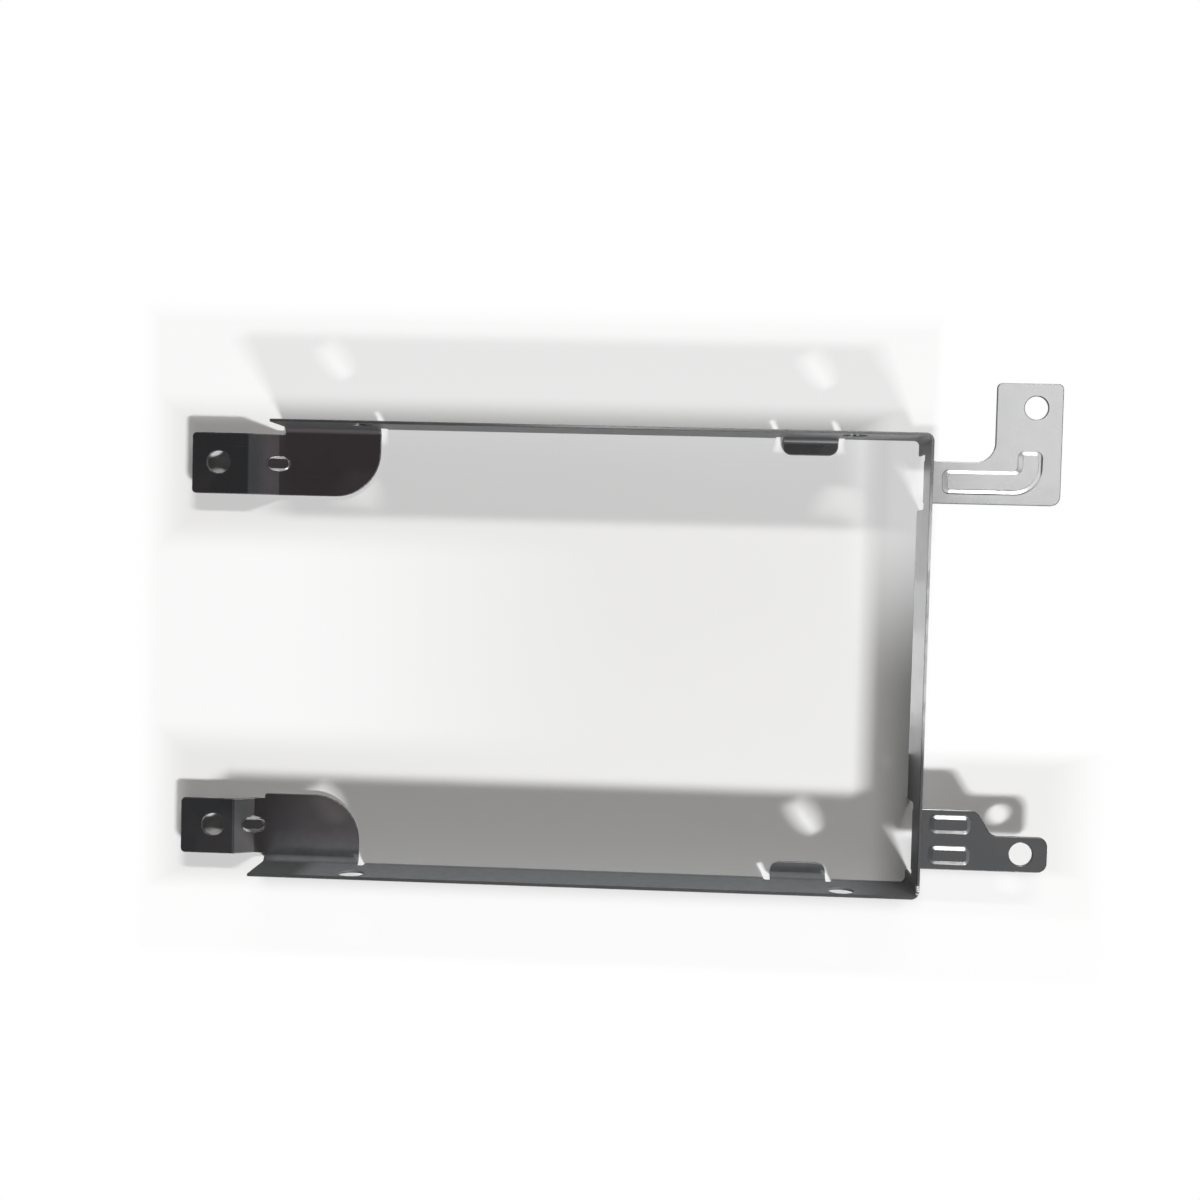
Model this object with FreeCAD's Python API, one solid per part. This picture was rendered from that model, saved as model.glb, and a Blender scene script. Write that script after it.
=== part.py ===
# Bracket that carries a 2.5-inch drive in a laptop: one thin steel sheet, cut, folded and embossed.
#
# Millimetres. X runs along the drive, from its plug end at the open front (-X) to the end wall (+X).
# Y runs across it, with the near side at -Y and the far side at +Y, and Z is up.
# The origin is midway between the four side screws, on the plane that the folded tabs lie on.

import FreeCAD, Part
import math
import os

Vector = FreeCAD.Vector

# The drive, which lies with its cover down on the tabs and its circuit board up
DRIVE_WIDTH = 69.85
DRIVE_HEIGHT = 9.5
DRIVE_TAIL = 9.6
SCREW_SPACING = 76.6
SCREW_BELOW_BOARD = 3.0

# The sheet, and the inside radius of each kind of fold
SHEET = 0.5
CORNER_FOLD = 0.8
TAB_FOLD = 1.0
EAR_FOLD = 0.7
JOGGLE_FOLD = 0.6

# The walls around the drive: the room that they leave it, and their reach past the front screws
SIDE_CLEARANCE = 0.175
TAIL_CLEARANCE = 1.5
WALL_BELOW_BOARD = 0.4
NEAR_WALL_REACH = 15.8
FAR_WALL_REACH = 13.4

# Screw holes
SIDE_HOLE_RADIUS = 2.0
EAR_HOLE_RADIUS = 1.8

# A relief is the gap cut beside a fold, and the web is the flat left between its top and the fold
RELIEF = 1.0
RELIEF_ROUND = 0.5
WEB = 0.3

# Tabs under the drive; depths are taken from the inside of the wall that they are folded from
FRONT_TAB_WIDTH = 15.5
FRONT_TAB_DEPTH = 10.9
FRONT_TAB_ROUND = 7.3
REAR_TAB_WIDTH = 8.8
REAR_TAB_DEPTH = 2.65
REAR_TAB_ROUND = 1.5
REAR_TAB_BEFORE_SCREW = 6.0

# Front ears, which grow out of the front tabs and step up to their screws
FRONT_HOLE_REACH = 23.8
FRONT_HOLE_INSET = 5.85
FRONT_EAR_RISE = 1.4
FRONT_EAR_OFF_FOLD = 0.15
FRONT_EAR_ROUND = 0.7
NEAR_EAR_STEP = 0.8
NEAR_EAR_STEP_ROUND = 0.35
NEAR_EAR_TIP = 5.3
NEAR_JOGGLE_FOOT = 1.7
NEAR_JOGGLE_RUN = 3.0
FAR_EAR_STEP = 0.0
FAR_EAR_TIP = 4.3
FAR_JOGGLE_FOOT = 1.0
FAR_JOGGLE_RUN = 4.7

# Rear ears, which fold outward from notches in the end wall; lengths are taken from its inside
REAR_EAR_HEIGHT = 3.5
REAR_HOLE_REACH = 17.1
REAR_EAR_TIP = 4.1
REAR_EAR_ROUND = 1.5

# Far rear ear, an L: a stem from the wall, then a leg that passes the side wall to its screw
FAR_STEM_INSET = 3.4
FAR_STEM_WIDTH = 6.55
FAR_LEG_WIDTH = 10.2
FAR_LEG_ROUND = 0.8
FAR_INSIDE_ROUND = 3.0
FAR_HOLE_OUTSET = 5.15
FAR_HOLE_TO_EDGE = 3.75

# Near rear ear: wide at the wall, then narrowed on its inner side by a slanted shoulder
NEAR_STEM_INSET = 3.0
NEAR_STEM_WIDTH = 9.5
NEAR_NECK_WIDTH = 5.6
NEAR_SHOULDER_REACH = 10.1
NEAR_SHOULDER_RUN = 2.4
NEAR_SHOULDER_ROUND = 1.8

# Embossed beads: a flat crown that stands above the sheet on sloped sides, with rounded ends
BEAD_RISE = 0.35
BEAD_RUN_PER_RISE = 1.7
BEAD_CROWN_ROUND = 0.25
BEAD_FOOT_ROUND = 0.5
BEAD_END_ROUND = 1.0
NARROW_BEAD = 2.9
WIDE_BEAD = 3.65
WIDE_BEAD_TURN = 2.5

# Where the beads run: reaches and lengths are to the middles of their end rounds, insets to the middle line
NEAR_BEAD_REACH = 3.8
NEAR_BEAD_LENGTH = 4.4
NEAR_BEAD_INSETS = (2.35, 7.2)
FAR_BEAD_REACH = 4.1
FAR_BEAD_INSET = 3.45
FAR_BEAD_TURN_TO_TIP = 4.8
FAR_BEAD_PAST_STEM = 0.8

# Darts: short beads across the bends at the front ears, sized where they meet the bend's chord
DART_LENGTH = 3.7
DART_WIDTH = 1.9
DART_RISE = 0.15
DART_RUN_PER_RISE = 1.2
DART_CROWN_ROUND = 0.3

# How far a cutting shape runs past what it cuts, and the shortest line worth drawing
PAST = 2.0
SHORTEST = 1e-6

# Places worked out from the sizes above
bay_half = DRIVE_WIDTH / 2 + SIDE_CLEARANCE
wall_middle = bay_half + SHEET / 2
wall_height = SHEET + DRIVE_HEIGHT - WALL_BELOW_BOARD
front_screw_x = -SCREW_SPACING / 2
rear_screw_x = SCREW_SPACING / 2
screw_z = SHEET + DRIVE_HEIGHT - SCREW_BELOW_BOARD
end_inner = rear_screw_x + DRIVE_TAIL + TAIL_CLEARANCE
end_middle = end_inner + SHEET / 2
near_front = front_screw_x - NEAR_WALL_REACH
far_front = front_screw_x - FAR_WALL_REACH
tab_middle = SHEET / 2
tab_root = SHEET + TAB_FOLD + WEB
front_hole_x = front_screw_x - FRONT_HOLE_REACH
rear_hole_x = end_inner + REAR_HOLE_REACH
hole_line = bay_half - FRONT_HOLE_INSET
far_rear_hole_y = bay_half + FAR_HOLE_OUTSET
rear_ear_end = rear_hole_x + REAR_EAR_TIP
rear_ear_middle = REAR_EAR_HEIGHT + SHEET / 2
rear_ear_top = REAR_EAR_HEIGHT + SHEET
rear_ear_root = rear_ear_top + EAR_FOLD + WEB
near_stem = (NEAR_STEM_INSET - bay_half, NEAR_STEM_INSET + NEAR_STEM_WIDTH - bay_half)
far_stem = (bay_half - FAR_STEM_INSET - FAR_STEM_WIDTH, bay_half - FAR_STEM_INSET)

# The two directions in each drawing plane, and the direction across it
AXES = {
    "XY": (Vector(1, 0, 0), Vector(0, 1, 0), Vector(0, 0, 1)),
    "XZ": (Vector(1, 0, 0), Vector(0, 0, 1), Vector(0, 1, 0)),
    "YZ": (Vector(0, 1, 0), Vector(0, 0, 1), Vector(1, 0, 0)),
}


def outline(corners, plane, level):
    """Closed wire through corners (u, v, radius) in a plane, with an arc of that radius at each corner."""
    u_axis, v_axis, normal = AXES[plane]
    points = [u_axis * u + v_axis * v + normal * level for u, v, _ in corners]
    stretches = []
    for i, corner in enumerate(points):
        radius = corners[i][2]
        back = (points[i - 1] - corner).normalize()
        ahead = (points[(i + 1) % len(points)] - corner).normalize()
        half_angle = back.getAngle(ahead) / 2
        reach = radius / math.tan(half_angle)
        crown = corner + (back + ahead).normalize() * (radius / math.sin(half_angle) - radius)
        stretches.append((corner + back * reach, crown, corner + ahead * reach, radius))
    edges = []
    for i, (start, crown, end, radius) in enumerate(stretches):
        last_end = stretches[i - 1][2]
        if last_end.distanceToPoint(start) > SHORTEST:
            edges.append(Part.makeLine(last_end, start))
        if radius > 0:
            edges.append(Part.Arc(start, crown, end).toShape())
    return Part.Wire(edges)


def prism(corners, plane, low, high):
    """Solid with a rounded outline in a plane, running from low to high across that plane."""
    face = Part.Face(outline(corners, plane, low))
    return face.extrude(AXES[plane][2] * (high - low))


def band(path, width, bend, cap):
    """Corners of a band along a path, with an inside radius at its turns and ends rounded by a cap."""
    points = [Vector(u, v, 0) for u, v in path]
    runs = [(b - a).normalize() for a, b in zip(points, points[1:])]
    points[0] = points[0] - runs[0] * cap
    points[-1] = points[-1] + runs[-1] * cap
    left = []
    right = []
    for i, point in enumerate(points):
        before = runs[max(i - 1, 0)]
        after = runs[min(i, len(runs) - 1)]
        mitre = Vector(-before.y - after.y, before.x + after.x, 0) * (width / 2 / (1 + before.dot(after)))
        turn = before.x * after.y - before.y * after.x
        if i in (0, len(points) - 1):
            left_radius, right_radius = cap, cap
        elif turn > 0:
            left_radius, right_radius = bend, bend + width
        else:
            left_radius, right_radius = bend + width, bend
        left.append((point.x + mitre.x, point.y + mitre.y, left_radius))
        right.append((point.x - mitre.x, point.y - mitre.y, right_radius))
    return left + right[::-1]


def flange(path, bend, plane, span, plan):
    """A folded flap: the sheet's section along a path on its middle surface, carried across the span
    and trimmed to the flap's outline seen from above."""
    strip = prism(band(path, SHEET, bend, 0), plane, span[0] - PAST, span[1] + PAST)
    return strip.common(prism(plan, "XY", -PAST, wall_height + PAST))


def notch(low, high, top, plane, inner, outer):
    """Cutter for the opening in a wall's lower edge from which a flap is folded, reliefs included."""
    corners = [
        (low - RELIEF, -PAST, 0),
        (high + RELIEF, -PAST, 0),
        (high + RELIEF, top, RELIEF_ROUND),
        (low - RELIEF, top, RELIEF_ROUND),
    ]
    return prism(corners, plane, inner - PAST, outer + PAST)


def walls():
    """The strip that stands around the drive on three sides."""
    path = [
        (near_front, -wall_middle),
        (end_middle, -wall_middle),
        (end_middle, wall_middle),
        (far_front, wall_middle),
    ]
    return prism(band(path, SHEET, CORNER_FOLD, 0), "XY", 0, wall_height)


def side_notch(side, low, high):
    """Cutter for a tab's notch in the near (-1) or far (+1) side wall."""
    faces = sorted((side * bay_half, side * (bay_half + SHEET)))
    return notch(low, high, tab_root, "XZ", *faces)


def tab(side, low, high, depth, low_round, high_round):
    """A tab folded in under the drive from the near (-1) or far (+1) side wall."""
    tip = side * (bay_half - depth)
    outside = side * (wall_middle + PAST)
    path = [
        (side * wall_middle, tab_root),
        (side * wall_middle, tab_middle),
        (tip - side * PAST, tab_middle),
    ]
    plan = [
        (low, outside, 0),
        (high, outside, 0),
        (high, tip, high_round),
        (low, tip, low_round),
    ]
    return flange(path, TAB_FOLD, "YZ", (low, high), plan)


def joggle(front, foot, run):
    """Points (x, z) on the middle surface where a front ear leaves its tab and where it levels out."""
    return (front - foot, tab_middle), (front - foot - run, tab_middle + FRONT_EAR_RISE)


def front_ear(side, front, step, tip, foot, run):
    """A front ear: it leaves the front edge of its tab, slopes up and levels out around its screw hole."""
    low_bend, high_bend = joggle(front, foot, run)
    end = front_hole_x - tip
    inner = side * (bay_half - FRONT_TAB_DEPTH + step)
    outer = side * (bay_half - TAB_FOLD - FRONT_EAR_OFF_FOLD)
    path = [(front + PAST, tab_middle), low_bend, high_bend, (end - PAST, high_bend[1])]
    plan = [
        (front, inner, 0),
        (front, outer, 0),
        (end, outer, FRONT_EAR_ROUND),
        (end, inner, FRONT_EAR_ROUND),
    ]
    return flange(path, JOGGLE_FOLD, "XZ", sorted((inner, outer)), plan)


def far_rear_plan():
    """Outline of the L-shaped far rear ear."""
    leg_start = rear_ear_end - FAR_LEG_WIDTH
    leg_end = far_rear_hole_y + FAR_HOLE_TO_EDGE
    return [
        (end_inner - PAST, far_stem[0], 0),
        (rear_ear_end, far_stem[0], REAR_EAR_ROUND),
        (rear_ear_end, leg_end, FAR_LEG_ROUND),
        (leg_start, leg_end, FAR_LEG_ROUND),
        (leg_start, far_stem[1], FAR_INSIDE_ROUND),
        (end_inner - PAST, far_stem[1], 0),
    ]


def near_rear_plan():
    """Outline of the near rear ear, with the slanted shoulder on its inner side."""
    neck = near_stem[0] + NEAR_NECK_WIDTH
    shoulder = end_inner + NEAR_SHOULDER_REACH
    return [
        (end_inner - PAST, near_stem[0], 0),
        (rear_ear_end, near_stem[0], REAR_EAR_ROUND),
        (rear_ear_end, neck, REAR_EAR_ROUND),
        (shoulder + NEAR_SHOULDER_RUN, neck, NEAR_SHOULDER_ROUND),
        (shoulder, near_stem[1], NEAR_SHOULDER_ROUND),
        (end_inner - PAST, near_stem[1], 0),
    ]


def bead(path, width, end_round, turn, rise, run_per_rise, crown_round, depth):
    """Bump and hollow of a bead along a path, on a sheet whose upper face is at level 0.

    The crown stands at the rise, and the bump's sides reach down to the depth. The hollow follows the
    bump one sheet's thickness inside it, so that the sheet keeps its thickness over the bead.
    """
    skin = SHEET * math.hypot(1, run_per_rise)

    def ring(level, inset):
        shrink = run_per_rise * level + inset
        half = width / 2 - shrink
        return outline(band(path, 2 * half, turn - half, end_round - shrink), "XY", level)

    bump = Part.makeLoft([ring(-depth, 0), ring(rise, 0)], True, True)
    hollow = Part.makeLoft([ring(-depth - SHEET, skin), ring(rise - SHEET, skin)], True, True)
    crown = [edge for edge in bump.Edges if edge.CenterOfMass.z > rise - SHORTEST]
    return bump.makeFillet(crown_round, crown), hollow


def dart(side, front, foot, run):
    """Short bead that stiffens the bend where a front ear leaves its tab; it lies along the bend's chord."""
    low_bend, high_bend = joggle(front, foot, run)
    half_slope = math.atan2(FRONT_EAR_RISE, run) / 2
    sag = DART_LENGTH / 2 * math.sin(half_slope)
    half = DART_WIDTH / 2
    path = [(half - DART_LENGTH / 2, 0), (DART_LENGTH / 2 - half, 0)]
    pair = bead(path, DART_WIDTH, half, 0, DART_RISE, DART_RUN_PER_RISE, DART_CROWN_ROUND, sag + SHEET / 2)
    y = side * hole_line
    place = Vector(low_bend[0], y, SHEET + sag)
    tilt = FreeCAD.Rotation(Vector(0, 1, 0), math.degrees(half_slope))
    bump, hollow = [shape.transformed(FreeCAD.Placement(place, tilt).toMatrix()) for shape in pair]
    above_middle = [
        (*low_bend, 0),
        (low_bend[0] + DART_LENGTH, low_bend[1], 0),
        (low_bend[0] + DART_LENGTH, wall_height, 0),
        (high_bend[0], wall_height, 0),
        (*high_bend, 0),
    ]
    return bump.common(prism(above_middle, "XZ", y - DART_LENGTH, y + DART_LENGTH)), hollow


def ear_bead(path, width, turn):
    """A bead on a rear ear."""
    return bead(
        path, width, BEAD_END_ROUND, turn, BEAD_RISE, BEAD_RUN_PER_RISE, BEAD_CROWN_ROUND, SHEET / 2
    )


def near_rear_beads():
    """The two short beads side by side on the near rear ear."""
    start = end_inner + NEAR_BEAD_REACH
    lines = [near_stem[1] - inset for inset in NEAR_BEAD_INSETS]
    paths = [[(start, y), (start + NEAR_BEAD_LENGTH, y)] for y in lines]
    return [ear_bead(path, NARROW_BEAD, 0) for path in paths]


def far_rear_beads():
    """The one bead on the far rear ear, which turns with the L from its stem into its leg."""
    y = far_stem[0] + FAR_BEAD_INSET
    turn_x = rear_ear_end - FAR_BEAD_TURN_TO_TIP
    path = [(end_inner + FAR_BEAD_REACH, y), (turn_x, y), (turn_x, far_stem[1] + FAR_BEAD_PAST_STEM)]
    return [ear_bead(path, WIDE_BEAD, WIDE_BEAD_TURN)]


def rear_ear(plan, beads):
    """A rear ear folded outward from the end wall, with its beads raised and their feet rounded."""
    path = [
        (end_middle, rear_ear_root),
        (end_middle, rear_ear_middle),
        (rear_ear_end + PAST, rear_ear_middle),
    ]
    across = [y for _, y, _ in plan]
    ear = flange(path, EAR_FOLD, "XZ", (min(across), max(across)), plan)
    for bump, hollow in beads:
        bump.translate(Vector(0, 0, rear_ear_top))
        hollow.translate(Vector(0, 0, rear_ear_top))
        ear = ear.fuse(bump)
    flat = max((face for face in ear.Faces if face.normalAt(0, 0).z > 1 - SHORTEST), key=lambda f: f.Area)
    feet = [edge for wire in flat.Wires if not wire.isSame(flat.OuterWire) for edge in wire.Edges]
    return ear.makeFillet(BEAD_FOOT_ROUND, feet).cut([hollow for _, hollow in beads])


def screw_holes():
    """Cutters for the screw holes in the side walls and in the ears."""
    reach = bay_half + SHEET + PAST
    cutters = []
    for x in (front_screw_x, rear_screw_x):
        start = Vector(x, -reach, screw_z)
        cutters.append(Part.makeCylinder(SIDE_HOLE_RADIUS, 2 * reach, start, Vector(0, 1, 0)))
    places = [
        (front_hole_x, -hole_line),
        (front_hole_x, hole_line),
        (rear_hole_x, -hole_line),
        (rear_hole_x, far_rear_hole_y),
    ]
    for x, y in places:
        cutters.append(Part.makeCylinder(EAR_HOLE_RADIUS, wall_height, Vector(x, y, 0)))
    return cutters


def drive_bracket():
    """The whole folded sheet."""
    rear_tab_x = rear_screw_x - REAR_TAB_BEFORE_SCREW
    rear_tab_span = (rear_tab_x - REAR_TAB_WIDTH / 2, rear_tab_x + REAR_TAB_WIDTH / 2)
    fronts = [
        (-1, near_front, NEAR_EAR_STEP, NEAR_EAR_STEP_ROUND, NEAR_EAR_TIP, NEAR_JOGGLE_FOOT, NEAR_JOGGLE_RUN),
        (1, far_front, FAR_EAR_STEP, 0, FAR_EAR_TIP, FAR_JOGGLE_FOOT, FAR_JOGGLE_RUN),
    ]
    notches = []
    flaps = []
    darts = []
    for side, front, step, step_round, tip, foot, run in fronts:
        tab_end = front + FRONT_TAB_WIDTH
        notches.append(side_notch(side, front, tab_end))
        notches.append(side_notch(side, *rear_tab_span))
        flaps.append(tab(side, front, tab_end, FRONT_TAB_DEPTH, step_round, FRONT_TAB_ROUND))
        flaps.append(tab(side, *rear_tab_span, REAR_TAB_DEPTH, REAR_TAB_ROUND, REAR_TAB_ROUND))
        flaps.append(front_ear(side, front, step, tip, foot, run))
        darts.append(dart(side, front, foot, run))
    for stem in (near_stem, far_stem):
        notches.append(notch(*stem, rear_ear_root, "YZ", end_inner, end_inner + SHEET))
    flaps.append(rear_ear(near_rear_plan(), near_rear_beads()))
    flaps.append(rear_ear(far_rear_plan(), far_rear_beads()))

    sheet = walls().cut(notches).fuse(flaps)
    sheet = sheet.fuse([bump for bump, _ in darts]).cut([hollow for _, hollow in darts])
    return sheet.cut(screw_holes()).removeSplitter()


os.makedirs("parts", exist_ok=True)
bracket = drive_bracket()
bracket.exportStep("parts/drive_bracket.step")
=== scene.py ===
# %% [markdown]
# # Laptop hard drive bracket
# The bracket is one folded sheet of thin steel with a dark coat: three low walls round a small drive,
# four tabs under the drive, and four ears that are screwed to the laptop. Its shape was built in CAD, so
# this lesson only dresses it: it rounds the cut edges, gives the steel its coat and wear with some painted
# highlights and reflections, and sets up the floor, the lights and the camera.

import math

import bpy
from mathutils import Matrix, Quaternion, Vector

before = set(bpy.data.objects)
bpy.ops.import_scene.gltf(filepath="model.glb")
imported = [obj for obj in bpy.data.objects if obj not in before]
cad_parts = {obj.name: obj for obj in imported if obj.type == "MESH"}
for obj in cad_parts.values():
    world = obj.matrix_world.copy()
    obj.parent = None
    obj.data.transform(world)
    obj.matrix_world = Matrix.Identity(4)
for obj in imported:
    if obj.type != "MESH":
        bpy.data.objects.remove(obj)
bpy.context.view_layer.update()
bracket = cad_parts["drive_bracket"]
MM = 0.001

# %% [markdown]
# ## Camera
# The bracket was photographed from almost straight above. A camera fitted to the photograph stands about
# 21 cm over the table and a little past the middle of the bay. An unturned Blender camera already looks
# straight down with +X to the right, so only its few degrees of tilt are set, as one turn about one axis.

# %% Place the camera
CAMERA_PLACE = Vector((8.13, 15.97, 212.12)) * MM
# The vector is the axis of the turn, and its length is the angle in degrees
CAMERA_TURN = Vector((-1.946, 2.339, 1.482))
CAMERA_LENS = 39.735
SENSOR_WIDTH = 36.0
NEAREST_SEEN = 10 * MM

camera_data = bpy.data.cameras.new("camera")
camera_data.sensor_width = SENSOR_WIDTH
camera_data.lens = CAMERA_LENS
camera_data.clip_start = NEAREST_SEEN
camera = bpy.data.objects.new("camera", camera_data)
camera.location = CAMERA_PLACE
camera.rotation_mode = "QUATERNION"
camera.rotation_quaternion = Quaternion(CAMERA_TURN.normalized(), math.radians(CAMERA_TURN.length))
bpy.context.scene.collection.objects.link(camera)
bpy.context.scene.camera = camera
bpy.context.scene.view_settings.view_transform = "Standard"
print("camera at", [round(c / MM, 1) for c in camera.location], "mm")

# %% [markdown]
# ## Helpers for nodes
# A material in Blender is a small network of nodes. One helper adds a node, sets its options and fills its
# inputs, either with a value or with a link from another node. The others build on it: they fade, join and
# mix, so the cells below read like a recipe. A mask is a value from 0 to 1 that says where something shows.

# %% Helper that adds one node
def add_node(tree, kind, inputs, **options):
    """Adds a shader node; inputs maps a socket's name or number to a value or to another node's socket."""
    node = tree.nodes.new("ShaderNode" + kind)
    for name, value in options.items():
        setattr(node, name, value)
    for key, value in inputs.items():
        if isinstance(value, bpy.types.NodeSocket):
            tree.links.new(value, node.inputs[key])
        else:
            node.inputs[key].default_value = value
    return node


print("node helper ready")

# %% Helpers that fade, join and mix
def fade(tree, value, start, end, low=0.0, high=1.0):
    """Goes from low to high as the value goes from start to end, with soft shoulders."""
    limits = {"Value": value, "From Min": start, "From Max": end, "To Min": low, "To Max": high}
    return add_node(tree, "MapRange", limits, interpolation_type="SMOOTHSTEP").outputs["Result"]


def combine(tree, operation, *values):
    """Joins two or more values with one Math operation, from left to right."""
    joined = values[0]
    for value in values[1:]:
        joined = add_node(tree, "Math", {0: joined, 1: value}, operation=operation).outputs[0]
    return joined


def overlap(tree, *masks):
    """The masks multiplied: 1 only where every one of them is 1."""
    return combine(tree, "MULTIPLY", *masks)


def either(tree, *masks):
    """The highest of the masks at each point."""
    return combine(tree, "MAXIMUM", *masks)


def absolute(tree, value):
    """The value without its sign."""
    return add_node(tree, "Math", {0: value}, operation="ABSOLUTE").outputs[0]


def mix_colours(tree, mask, first, second):
    """The first colour where the mask is 0 and the second where it is 1."""
    return add_node(tree, "Mix", {0: mask, 6: first, 7: second}, data_type="RGBA").outputs[2]


def seen_ray(tree):
    """1 for rays that the viewer sees, directly, in a reflection or through glass, and 0 for the others."""
    path = add_node(tree, "LightPath", {})
    kinds = ("Is Camera Ray", "Is Glossy Ray", "Is Transmission Ray")
    return either(tree, *[path.outputs[kind] for kind in kinds])


print("mask helpers ready")

# %% [markdown]
# ## Floor
# The table is plain and nearly white. A large square is enough: the camera never sees its rim from above,
# and a matte surface keeps the soft shadows that show how high the walls and ears stand. A faint cloudiness
# keeps it from looking like plain paper. It lies a hair below the tabs, so the two never share a plane.

# %% Lay the floor
FLOOR_HALF = 3.0
FLOOR_HEIGHT = -0.03 * MM
SQUARE = ((-1, -1), (1, -1), (1, 1), (-1, 1))

floor_mesh = bpy.data.meshes.new("floor")
floor_corners = [(x * FLOOR_HALF, y * FLOOR_HALF, FLOOR_HEIGHT) for x, y in SQUARE]
floor_mesh.from_pydata(floor_corners, [], [(0, 1, 2, 3)])
floor = bpy.data.objects.new("floor", floor_mesh)
bpy.context.scene.collection.objects.link(floor)
print("floor", 2 * FLOOR_HALF, "m square")

# %% Finish the floor
TABLE_GREY = (0.885, 0.885, 0.885, 1.0)
TABLE_PALE = (0.915, 0.915, 0.915, 1.0)

table_top = bpy.data.materials.new("table_top")
table_top.use_nodes = True
top_tree = table_top.node_tree
top_shader = top_tree.nodes["Principled BSDF"]
top_where = add_node(top_tree, "TexCoord", {}).outputs["Object"]
cloud_inputs = {"Vector": top_where, "Scale": 18.0, "Detail": 4.0}
top_cloud = add_node(top_tree, "TexNoise", cloud_inputs).outputs["Fac"]
top_colour = mix_colours(top_tree, top_cloud, TABLE_GREY, TABLE_PALE)
top_tree.links.new(top_colour, top_shader.inputs["Base Color"])
top_shader.inputs["Roughness"].default_value = 0.75
top_shader.inputs["Specular IOR Level"].default_value = 0.0
floor_mesh.materials.append(table_top)
print("floor finish", table_top.name)

# %% [markdown]
# ## White surroundings
# The picture is so bright that the table runs out to pure white away from the shadows. Each area below is a
# few fades along X or Y, multiplied. The floor glows there, but only for rays that the viewer sees, directly
# or mirrored, so the glow sheds no light. Where an area lies over a shadow, along the far and near walls,
# below the near rear ear and in the far corner of the bay, the glow is painted light that pales the shadow.
# From below the floor is clear, and so it is for rays that start right on it: both let light reach the
# underside, so that it can be looked at.

# %% Let the floor run out to white
WHITE = (1.0, 1.0, 1.0, 1.0)
# How white an area gets, then its fades: the axis, and where the fade starts and ends in millimetres
# Over a shadow (near_end, far_corner, along_far_wall, along_near_wall) the glow is painted light that pales
# it
WHITE_AREAS = {
    "open_end": (0.75, [("Y", -19.0, -12.0), ("Y", 21.0, 14.0), ("X", 10.0, -60.0)]),
    "far_end": (1.0, [("X", 49.0, 53.0), ("Y", -17.0, -13.0)]),
    "near_end": (0.75, [("X", 49.0, 53.0), ("Y", -31.5, -34.5)]),
    "far_corner": (0.6, [("X", 36.0, 46.0), ("Y", -6.0, 24.0)]),
    "past_rear_ears": (1.0, [("X", 70.0, 82.0)]),
    "past_front_ears": (1.0, [("X", -66.0, -76.0)]),
    "along_far_wall": (0.72, [("Y", 35.0, 41.0)]),
    "past_far_wall": (1.0, [("Y", 45.0, 56.0)]),
    "along_near_wall": (0.9, [("Y", -36.0, -41.0)]),
    "past_near_wall": (1.0, [("Y", -42.0, -52.0)]),
}

top_split = add_node(top_tree, "SeparateXYZ", {0: top_where}).outputs
white_parts = []
for whitest, fades in WHITE_AREAS.values():
    sides = [fade(top_tree, top_split[axis], start * MM, end * MM) for axis, start, end in fades]
    white_parts.append(overlap(top_tree, *sides, whitest))
white_and_painted_light = overlap(top_tree, either(top_tree, *white_parts), seen_ray(top_tree))
top_glow = add_node(top_tree, "Emission", {"Color": WHITE, "Strength": 1.0}).outputs["Emission"]
top_inputs = {0: white_and_painted_light, 1: top_shader.outputs["BSDF"], 2: top_glow}
top_surface = add_node(top_tree, "MixShader", top_inputs).outputs["Shader"]
print("floor runs out to white in", len(white_parts), "areas")

# %% Clear the floor from below
TOUCHING = (0.6 * MM, 0.3 * MM)

from_below = add_node(top_tree, "NewGeometry", {}).outputs["Backfacing"]
ray_length = add_node(top_tree, "LightPath", {}).outputs["Ray Length"]
see_through = either(top_tree, from_below, fade(top_tree, ray_length, *TOUCHING))
top_clear = add_node(top_tree, "BsdfTransparent", {}).outputs["BSDF"]
sided_inputs = {0: see_through, 1: top_surface, 2: top_clear}
top_sided = add_node(top_tree, "MixShader", sided_inputs).outputs["Shader"]
top_tree.links.new(top_sided, top_tree.nodes["Material Output"].inputs["Surface"])
print("floor is clear from below")

# %% [markdown]
# ## Lights
# Two lamps stand low on either side of the bracket, so each wall throws one shadow up the picture and one
# down it. Both are long and thin: shadow edges that run along a lamp stay crisp, those across it melt away.

# %% Hang the lamps
FAR_LAMP_TINT = (1.0, 0.985, 0.965)


def add_lamp(name, place, size, radiance, aim=(0.0, 0.0, 0.0)):
    """A flat lamp that faces its aim; its power is pi times its area times its radiance."""
    data = bpy.data.lights.new(name, "AREA")
    data.shape = "RECTANGLE"
    data.size, data.size_y = size
    data.energy = math.pi * size[0] * size[1] * radiance
    lamp = bpy.data.objects.new(name, data)
    lamp.location = place
    lamp.rotation_mode = "QUATERNION"
    lamp.rotation_quaternion = (Vector(place) - Vector(aim)).to_track_quat("Z", "Y")
    lamp.visible_camera = False
    bpy.context.scene.collection.objects.link(lamp)
    return lamp


near_lamp = add_lamp("near_lamp", place=(0.80, -1.53, 1.04), size=(0.45, 0.08), radiance=425.0)
far_lamp = add_lamp("far_lamp", place=(0.20, 1.66, 1.11), size=(1.00, 0.10), radiance=62.0)
far_lamp.data.color = FAR_LAMP_TINT
print("lamps", near_lamp.name, far_lamp.name)

# %% [markdown]
# ## Cards
# Cards show only in reflections, as a photographer sets white boards round a glossy thing: the far rear ear
# mirrors bright cards and looks pale, the ears under the bare ceiling look nearly black. Three cards of
# different lengths lie on the floor before the end wall, one over another, so the wall brightens towards
# its middle. Where they stand is a guess from the photograph, which doesn't show what the sheet mirrors.

# %% Hang the cards
NEAR_TAB_TINT = (1.0, 0.91, 0.96)
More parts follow.
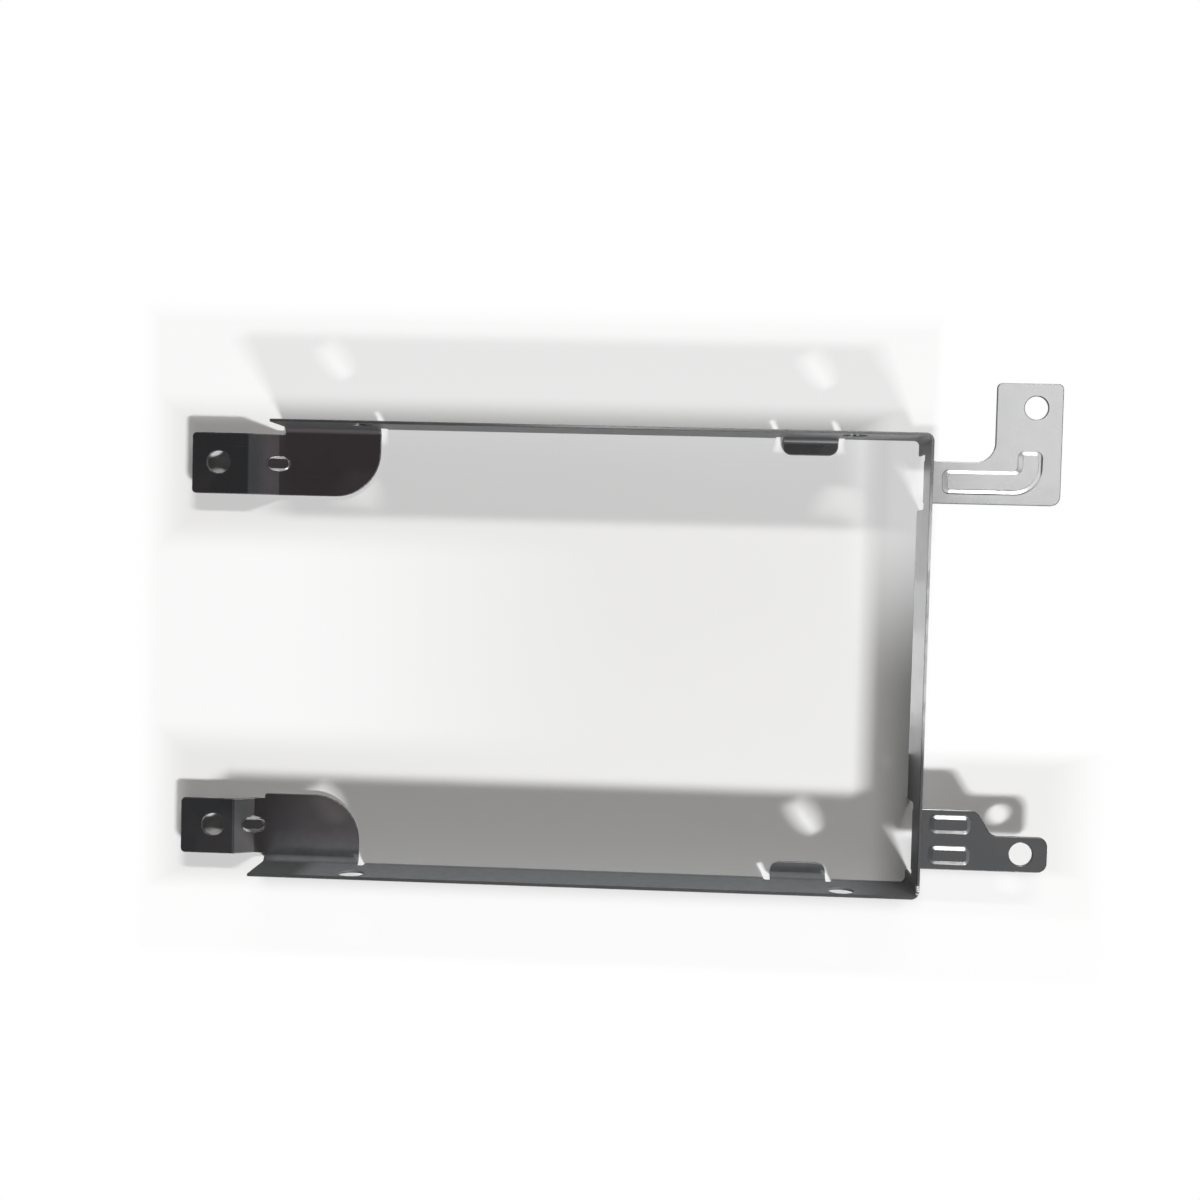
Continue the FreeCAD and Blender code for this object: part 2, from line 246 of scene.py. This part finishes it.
# Name, place, size, radiance and the point that the card faces, in metres
CARDS = [
    ("card_over_far_ear", (0.155, 0.18, 0.30), (0.096, 0.32), 10.5, (0.155, 0.18, 0.0)),
    ("card_over_near_ear", (0.125, -0.095, 0.30), (0.15, 0.11), 0.85, (0.125, -0.095, 0.0)),
    ("card_over_near_tab", (-0.104, -0.097, 0.30), (0.055, 0.05), 0.95, (-0.104, -0.097, 0.0)),
    ("card_beside_ear", (0.003, 0.044, 0.057), (0.034, 0.040), 9.0, (0.060, 0.036, 0.004)),
    ("card_at_end_wall", (0.040, 0.0080, 0.0002), (0.019, 0.045), 2.0, (0.040, 0.0080, 0.1)),
    ("card_at_wall_middle", (0.040, 0.0015, 0.0003), (0.019, 0.023), 0.8, (0.040, 0.0015, 0.1)),
    ("card_at_wall_bright", (0.040, -0.0015, 0.0004), (0.019, 0.013), 0.8, (0.040, -0.0015, 0.1)),
    ("card_past_far_ear", (0.17, 0.48, 0.30), (0.13, 0.26), 30.0, (0.17, 0.48, 0.0)),
]

cards = [add_lamp(*card) for card in CARDS]
for card in cards:
    card.visible_diffuse = False
bpy.data.lights["card_over_near_tab"].color = NEAR_TAB_TINT
print("cards", [card.name for card in cards])

# %% [markdown]
# ## Room
# A half-glossy sheet shows the room as much as its own colour. The room is white at the horizon, dim above
# it, and its ceiling brightens evenly towards the near right, so flat faces go from nearly black on the
# left to mid grey on the right. Only rays that the viewer sees meet this room: for the light that the room
# itself sheds, it is almost dark, which keeps the shadows deep.

# %% Paint the room
DIM_WALL = (0.53, 0.55, 0.57, 1.0)
CEILING_DARK = (0.12, 0.11, 0.115, 1.0)
CEILING_LIGHT = (0.50, 0.52, 0.55, 1.0)
CEILING_MIDDLE = 0.33
CEILING_RISE = (1.12, -1.30, 0.0)
ROOM_SHED = (0.046, 0.044, 0.042, 1.0)
# Heights are those of a direction of length 1: 0 at the horizon and 1 straight up
WALL_DIMS = (0.10, 0.24)
WALL_ENDS = (0.62, 0.80)

world = bpy.data.worlds.new("room")
bpy.context.scene.world = world
world.use_nodes = True
room = world.node_tree
room_way = add_node(room, "TexCoord", {}).outputs["Generated"]
room_height = add_node(room, "SeparateXYZ", {0: room_way}).outputs["Z"]
tilt_inputs = {0: room_way, 1: CEILING_RISE}
ceiling_tilt = add_node(room, "VectorMath", tilt_inputs, operation="DOT_PRODUCT").outputs["Value"]
ceiling_level = combine(room, "ADD", ceiling_tilt, CEILING_MIDDLE)
ceiling = mix_colours(room, fade(room, ceiling_level, 0.0, 1.0), CEILING_DARK, CEILING_LIGHT)
walls = mix_colours(room, fade(room, room_height, *WALL_DIMS), WHITE, DIM_WALL)
room_colour = mix_colours(room, fade(room, room_height, *WALL_ENDS), walls, ceiling)
room_mirrored = mix_colours(room, seen_ray(room), ROOM_SHED, room_colour)
looked_at = add_node(room, "LightPath", {}).outputs["Is Camera Ray"]
room_light = mix_colours(room, looked_at, room_mirrored, WHITE)
room.links.new(room_light, room.nodes["Background"].inputs["Color"])
print("room painted")

# %% [markdown]
# ## Edges
# A stamped sheet has a small rolled edge on one side and a burr on the other, so no edge is truly sharp.
# The CAD mesh arrives as loose triangles: Weld joins them, a planar Decimate clears the lines inside flat
# faces, Bevel rounds every cut edge by about a seventh of a millimetre, and Weighted Normal shades the
# folds smoothly while the flat faces stay flat.

# %% Round the cut edges
JOIN_WITHIN = 0.001 * MM
FLAT_WITHIN = math.radians(0.5)
EDGE_ROUND = 0.14 * MM
SHARPER_THAN = math.radians(35)

weld = bracket.modifiers.new("join_triangles", "WELD")
weld.merge_threshold = JOIN_WITHIN
flatten = bracket.modifiers.new("clear_flat_faces", "DECIMATE")
flatten.decimate_type = "DISSOLVE"
flatten.angle_limit = FLAT_WITHIN
rounding = bracket.modifiers.new("round_cut_edges", "BEVEL")
rounding.width = EDGE_ROUND
rounding.segments = 2
rounding.limit_method = "ANGLE"
rounding.angle_limit = SHARPER_THAN
rounding.use_clamp_overlap = False
shading = bracket.modifiers.new("shade_folds", "WEIGHTED_NORMAL")
shading.mode = "FACE_AREA"
shading.weight = 100
shown = bracket.evaluated_get(bpy.context.evaluated_depsgraph_get())
print("bracket mesh now has", len(shown.data.polygons), "faces")

# %% [markdown]
# ## Coat
# The coat is thin, dark and half glossy. Its colour drifts between a warm and a cool black over a few
# millimetres. The two large tabs get the warmest and lightest black: painted reflection, for the warm light
# those flat faces mirror. Flat faces kept their gloss in the press; where the sheet was bent or stretched,
# and on the walls that a drive slides along, the coat is duller, and so is the cut rim. Places are in
# millimetres from here on, as pairs that say where a mask is 0 and where it reaches 1.

# %% Start the coat
coat = bpy.data.materials.new("coated_steel_finish")
coat.use_nodes = True
coat_tree = coat.node_tree
coat_shader = coat_tree.nodes["Principled BSDF"]
coat_shader.inputs["Specular IOR Level"].default_value = 0.75
coat_shader.inputs["Sheen Weight"].default_value = 0.07
coat_shader.inputs["Sheen Roughness"].default_value = 0.45
coat_shader.inputs["Sheen Tint"].default_value = (0.88, 0.94, 1.0, 1.0)
coat_where = add_node(coat_tree, "TexCoord", {}).outputs["Object"]
scale_inputs = {0: coat_where, "Scale": 1 / MM}
coat_mm = add_node(coat_tree, "VectorMath", scale_inputs, operation="SCALE").outputs["Vector"]
coat_x, coat_y, coat_z = add_node(coat_tree, "SeparateXYZ", {0: coat_mm}).outputs
print("coat started")

# %% Colour of the coat
WARM_BLACK = (0.038, 0.031, 0.033, 1.0)
COOL_BLACK = (0.0165, 0.0175, 0.0185, 1.0)
TABS_ALONG = (-22.0, -36.0)
TABS_HEIGHT = (1.7, 0.7)


def coat_fade(value, start, end, low=0.0, high=1.0):
    """A fade in the coat's own tree."""
    return fade(coat_tree, value, start, end, low, high)


def noise(scale, detail, where=coat_mm, rough=0.5):
    """Soft noise from 0 to 1 whose patches are about one over scale millimetres wide."""
    values = {"Vector": where, "Scale": scale, "Detail": detail, "Roughness": rough}
    return add_node(coat_tree, "TexNoise", values).outputs["Fac"]


# The large tabs' warmer, lighter black is painted reflection, mixed with the coat's own drift below
tabs_painted_reflection = overlap(coat_tree, coat_fade(coat_x, *TABS_ALONG), coat_fade(coat_z, *TABS_HEIGHT))
drift = coat_fade(noise(scale=0.12, detail=2.0), 0.35, 0.65, low=-0.15, high=0.30)
warmth_inputs = {0: tabs_painted_reflection, 1: drift}
warmth_and_painted_reflection = add_node(coat_tree, "Math", warmth_inputs, operation="ADD", use_clamp=True).outputs[0]
coat_colour_with_tab_reflection = mix_colours(coat_tree, warmth_and_painted_reflection, COOL_BLACK, WARM_BLACK)
print("coat colours", WARM_BLACK[:3], COOL_BLACK[:3])

# %% Gloss of the coat
FLAT_ROUGHNESS = 0.16
BENT_ROUGHNESS = 0.38
WALL_ROUGHNESS = 0.50
SIDE_ROUGHNESS = 0.80
CUT_ROUGHNESS = 0.45
NEAR_FOLD = (-33.9, -34.4)
INSIDE_BAY = (49.8, 49.4)
CUT_RIM = (9.45, 9.50)

coat_normal = add_node(coat_tree, "NewGeometry", {}).outputs["Normal"]
facing_x, facing_y, facing_z = add_node(coat_tree, "SeparateXYZ", {0: coat_normal}).outputs
level = absolute(coat_tree, facing_z)
bent_gloss = coat_fade(level, 0.985, 0.90, low=FLAT_ROUGHNESS, high=BENT_ROUGHNESS)
wall_gloss = coat_fade(level, 0.70, 0.30, low=0.0, high=WALL_ROUGHNESS - BENT_ROUGHNESS)
pressed_gloss = combine(coat_tree, "ADD", bent_gloss, wall_gloss)
near_side = overlap(coat_tree, coat_fade(coat_y, *NEAR_FOLD), coat_fade(coat_x, *INSIDE_BAY))
side_gloss = overlap(coat_tree, near_side, SIDE_ROUGHNESS)
cut_rim = coat_fade(coat_z, *CUT_RIM)
cut_gloss = overlap(coat_tree, cut_rim, CUT_ROUGHNESS)
dullest = either(coat_tree, pressed_gloss, side_gloss, cut_gloss)
handling = coat_fade(noise(scale=0.45, detail=5.0, rough=0.65), 0.30, 0.70, low=-0.015, high=0.015)
coat_gloss = combine(coat_tree, "ADD", dullest, handling)
print("roughness", FLAT_ROUGHNESS, BENT_ROUGHNESS, WALL_ROUGHNESS, SIDE_ROUGHNESS, CUT_ROUGHNESS)

# %% [markdown]
# ## Scuffs
# Fine hairlines come from parts sliding over each other in a tray. Noise stretched a hundred times along
# one direction makes them; only its highest crests are kept, so the lines stay thin and sparse.

# %% Draw the hairlines
LINE_STRETCH = (0.09, 9.0, 9.0)
LINE_SOFTNESS = 0.06
# Direction in degrees and the height above which a crest shows
LINE_SETS = [(4.0, 0.71), (-31.0, 0.74), (77.0, 0.74)]


def hairlines(turn, crest):
    """Mask of thin straight lines that run along the given direction, in degrees from X towards Y."""
    values = {"Vector": coat_mm, "Rotation": (0.0, 0.0, -math.radians(turn)), "Scale": LINE_STRETCH}
    along = add_node(coat_tree, "Mapping", values).outputs["Vector"]
    return coat_fade(noise(scale=1.0, detail=1.0, where=along), crest, crest + LINE_SOFTNESS)


lines = either(coat_tree, *[hairlines(turn, crest) for turn, crest in LINE_SETS])
worn_patch = coat_fade(noise(scale=0.14, detail=3.0), 0.46, 0.62)
flat_face = coat_fade(level, 0.970, 0.995)
scuffs = overlap(coat_tree, lines, worn_patch, flat_face)
print("hairlines in", len(LINE_SETS), "directions")

# %% [markdown]
# ## Bare edges
# Cut edges lose their coat first. The Bevel node gives the direction a rounded surface would face; where it
# differs from the real one, there is an edge within reach. Noise breaks the mask up, because an edge is
# never worn evenly. A few bright specks round the near rear corner are painted glints.

# %% Find the edges
EDGE_REACH = 0.15 * MM

soft_normal = add_node(coat_tree, "Bevel", {"Radius": EDGE_REACH}, samples=4).outputs["Normal"]
agree_inputs = {0: soft_normal, 1: coat_normal}
agree = add_node(coat_tree, "VectorMath", agree_inputs, operation="DOT_PRODUCT").outputs["Value"]
edge = coat_fade(agree, 0.995, 0.86)
edge_break = coat_fade(noise(scale=1.1, detail=4.0, rough=0.7), 0.56, 0.66)
bare_edge = overlap(coat_tree, edge, edge_break)
print("edge mask ready")

# %% Paint glints at the near rear corner
GLINT_CORNER = (49.8, -34.0, 9.5)
GLINT_REACH = (1.0, 0.6)

corner_inputs = {0: coat_mm, 1: GLINT_CORNER}
from_corner = add_node(coat_tree, "VectorMath", corner_inputs, operation="DISTANCE").outputs["Value"]
glint_shapes = coat_fade(noise(scale=2.6, detail=2.0), 0.47, 0.53)
painted_corner_glints = overlap(coat_tree, coat_fade(from_corner, *GLINT_REACH), glint_shapes)
print("chips at", GLINT_CORNER)

# %% [markdown]
# ## Beads
# The long sides of the beads and darts get a painted highlight: a lighter metal that stands in for the
# lamps they mirror. Those sides lean towards the near or the far wall, so how far a surface faces that way
# picks them out, inside boxes round the beads. The box on the near rear ear also takes in the ear's cut
# edges, which get the painted highlight too. There, the sides that face the near wall gleam less.

# %% Find the beads
BOX_SOFTNESS = 0.2
# Middle and half size in X and Y
BEAD_BOXES = {
    "near_rear_beads": ((54.85, -27.9), (3.75, 6.0)),
    "far_rear_bead": ((59.4, 30.1), (7.9, 3.5)),
    "near_dart": ((-55.8, -29.25), (1.9, 1.45)),
    "far_dart": ((-52.7, 29.25), (1.9, 1.45)),
}


def near_line(value, middle, reach):
    """1 where a value is within reach of its middle and 0 a little further out."""
    away = combine(coat_tree, "SUBTRACT", value, middle)
    return coat_fade(absolute(coat_tree, away), reach + BOX_SOFTNESS, reach)


box_masks = []
for (middle_x, middle_y), (reach_x, reach_y) in BEAD_BOXES.values():
    along_x = near_line(coat_x, middle_x, reach_x)
    along_y = near_line(coat_y, middle_y, reach_y)
    box_masks.append(overlap(coat_tree, along_x, along_y))
pressed = either(coat_tree, *box_masks)
print("boxes round", list(BEAD_BOXES))

# %% Paint highlights on the long sides
ACROSS_MIDDLE = (-5.0, 5.0)
NEAR_SIDE_GLEAM = 0.55

at_rear = coat_fade(coat_x, *ACROSS_MIDDLE)
far_half = coat_fade(coat_y, *ACROSS_MIDDLE)
leaning = coat_fade(absolute(coat_tree, facing_y), 0.36, 0.49)
bead_side = overlap(coat_tree, leaning, coat_fade(level, 0.50, 0.66))
highlight_variation = coat_fade(noise(scale=0.9, detail=2.0), 0.30, 0.60, low=0.5, high=0.8)
rear_gleam = overlap(coat_tree, at_rear, coat_fade(facing_y, -0.2, 0.2, low=NEAR_SIDE_GLEAM))
gleam = either(coat_tree, far_half, rear_gleam)
painted_bead_highlight = overlap(coat_tree, bead_side, pressed, highlight_variation, gleam)
bare_edge_and_painted_highlight = either(coat_tree, bare_edge, painted_bead_highlight)
print("bead sides thinned")

# %% [markdown]
# ## Bead ends and the near dart
# The rounded ends of the rear beads lean along X instead, so the same boxes find them by that. They are
# painted greyer than the flat ears, most of all on the far ear, where the photograph is overexposed and
# shows
# glare: this grey is painted reflection. The near dart's side towards the near wall gets a painted
# highlight.

# %% Paint reflection on the bead ends and a highlight on the near dart
at_front = coat_fade(coat_x, *reversed(ACROSS_MIDDLE))
near_half = coat_fade(coat_y, *reversed(ACROSS_MIDDLE))
end_lean = coat_fade(absolute(coat_tree, facing_x), 0.10, 0.24)
end_slope = overlap(coat_tree, end_lean, coat_fade(level, 0.35, 0.50))
bead_end = overlap(coat_tree, pressed, at_rear, end_slope)
# The near dart's side towards the near wall gets a painted highlight
dart_side = coat_fade(facing_y, -0.12, -0.30)
painted_dart_highlight = overlap(coat_tree, pressed, at_front, near_half, dart_side)
print("bead ends greyed")

# %% [markdown]
# ## Painted reflection on the near wall
# The near wall's inner face and its fold are painted a little paler and greyer than the rest: a painted
# reflection of the light they mirror. The grey is laid over the coat and fades out over a few millimetres of
# the tabs.

# %% Paint reflection on the near wall
WALL_REFLECTION_GREY = (0.140, 0.153, 0.163, 1.0)
INNER_FACE = (-35.50, -35.25)
TOWARDS_WALL = (-23.0, -35.0)
SHORT_OF_END = (47.0, 38.0)
WALL_FRONT = (-48.0, -44.0)
TAB_FRONT = (-54.5, -51.5)
ABOVE_TABS = (0.6, 1.6)
TAB_TO_FOLD = (-29.0, -33.0)

on_wall_face = overlap(coat_tree, coat_fade(coat_z, *ABOVE_TABS), coat_fade(coat_x, *WALL_FRONT))
on_tab = overlap(coat_tree, coat_fade(coat_z, *reversed(ABOVE_TABS)), coat_fade(coat_x, *TAB_FRONT))
on_fold = overlap(coat_tree, on_tab, coat_fade(coat_y, *TAB_TO_FOLD, low=0.25))
reflection_place = either(coat_tree, on_wall_face, on_fold)
reflection_sides = overlap(coat_tree, coat_fade(coat_y, *INNER_FACE), coat_fade(coat_y, *TOWARDS_WALL))
reflection_cloud = coat_fade(noise(scale=0.6, detail=4.0, rough=0.6), 0.25, 0.65, low=0.8, high=1.0)
reflection_ends = overlap(coat_tree, coat_fade(coat_x, *SHORT_OF_END), coat_fade(cut_rim, 1.0, 0.0))
painted_wall_reflection = overlap(coat_tree, reflection_sides, reflection_place, reflection_cloud, reflection_ends)
with_wall_reflection = mix_colours(coat_tree, painted_wall_reflection, coat_colour_with_tab_reflection, WALL_REFLECTION_GREY)
print("near wall rubbed")

# %% [markdown]
# ## Cut rim
# The upper rim of the walls looks almost black, unevenly, so it gets a darker colour than the coat. Along
# the middle of the end wall the rim is painted pale: the photograph is overexposed there, and this is a
# painted highlight for that glare.

# %% Colour the cut rim
CUT_BLACK = (0.006, 0.006, 0.0065, 1.0)
RIM_HIGHLIGHT_GREY = (0.48, 0.48, 0.48, 1.0)
END_WALL = (48.6, 49.2)
PALE_FROM_FAR = (33.0, 16.0)
PALE_FROM_NEAR = (-15.0, -7.0)

pale_length = overlap(coat_tree, coat_fade(coat_y, *PALE_FROM_FAR), coat_fade(coat_y, *PALE_FROM_NEAR))
painted_rim_highlight = overlap(coat_tree, coat_fade(coat_x, *END_WALL), pale_length)
rim_and_highlight_colour = mix_colours(coat_tree, painted_rim_highlight, CUT_BLACK, RIM_HIGHLIGHT_GREY)
cut_shade = coat_fade(noise(scale=0.35, detail=3.0), 0.35, 0.60, low=0.55, high=1.0)
rim_mask = overlap(coat_tree, cut_rim, cut_shade)
trimmed = mix_colours(coat_tree, rim_mask, with_wall_reflection, rim_and_highlight_colour)
print("cut rim coloured")

# %% [markdown]
# ## Finish
# Bare steel shows through the worn edges as a lighter metal, and the same metal paints the highlights on
# the bead sides; near-white paints the highlight on the near dart and the glints at the near rear corner.
# The hairlines only dull and lighten the coat a little. A very fine unevenness in the coat breaks up the
# reflections.

# %% Lay the wear and the painted highlights over the coat
SCUFF_GREY = (0.085, 0.085, 0.085, 1.0)
SCUFF_STRENGTH = 0.35
NEAR_END_REFLECTION_GREY = (0.085, 0.091, 0.095, 1.0)
FAR_END_REFLECTION_GREY = (0.56, 0.56, 0.56, 1.0)
BARE_STEEL_AND_HIGHLIGHT = (0.40, 0.39, 0.38, 1.0)
PAINTED_HIGHLIGHT_WHITE = (0.82, 0.83, 0.83, 1.0)

scuffed = mix_colours(coat_tree, overlap(coat_tree, scuffs, SCUFF_STRENGTH), trimmed, SCUFF_GREY)
painted_end_reflection = mix_colours(coat_tree, far_half, NEAR_END_REFLECTION_GREY, FAR_END_REFLECTION_GREY)
greyed = mix_colours(coat_tree, bead_end, scuffed, painted_end_reflection)
worn_and_highlighted = mix_colours(coat_tree, bare_edge_and_painted_highlight, greyed, BARE_STEEL_AND_HIGHLIGHT)
painted_highlights = either(coat_tree, painted_corner_glints, painted_dart_highlight)
finished_colour = mix_colours(coat_tree, painted_highlights, worn_and_highlighted, PAINTED_HIGHLIGHT_WHITE)
print("wear laid over the coat")

# %% Put the finish together
SCUFF_DULLS = 0.10
GRAIN_STRENGTH = 0.03
GRAIN_HEIGHT = 0.006 * MM

finished_gloss = combine(coat_tree, "ADD", coat_gloss, overlap(coat_tree, scuffs, SCUFF_DULLS))
grain = noise(scale=5.0, detail=3.0, rough=0.6)
bump_inputs = {"Strength": GRAIN_STRENGTH, "Distance": GRAIN_HEIGHT, "Height": grain}
coat_bump = add_node(coat_tree, "Bump", bump_inputs).outputs["Normal"]
coat_tree.links.new(finished_colour, coat_shader.inputs["Base Color"])
coat_tree.links.new(finished_gloss, coat_shader.inputs["Roughness"])
coat_tree.links.new(bare_edge_and_painted_highlight, coat_shader.inputs["Metallic"])
coat_tree.links.new(coat_bump, coat_shader.inputs["Normal"])
for slot in bracket.material_slots:
    slot.material = coat
print("coat on", len(bracket.material_slots), "slot with", len(coat_tree.nodes), "nodes")
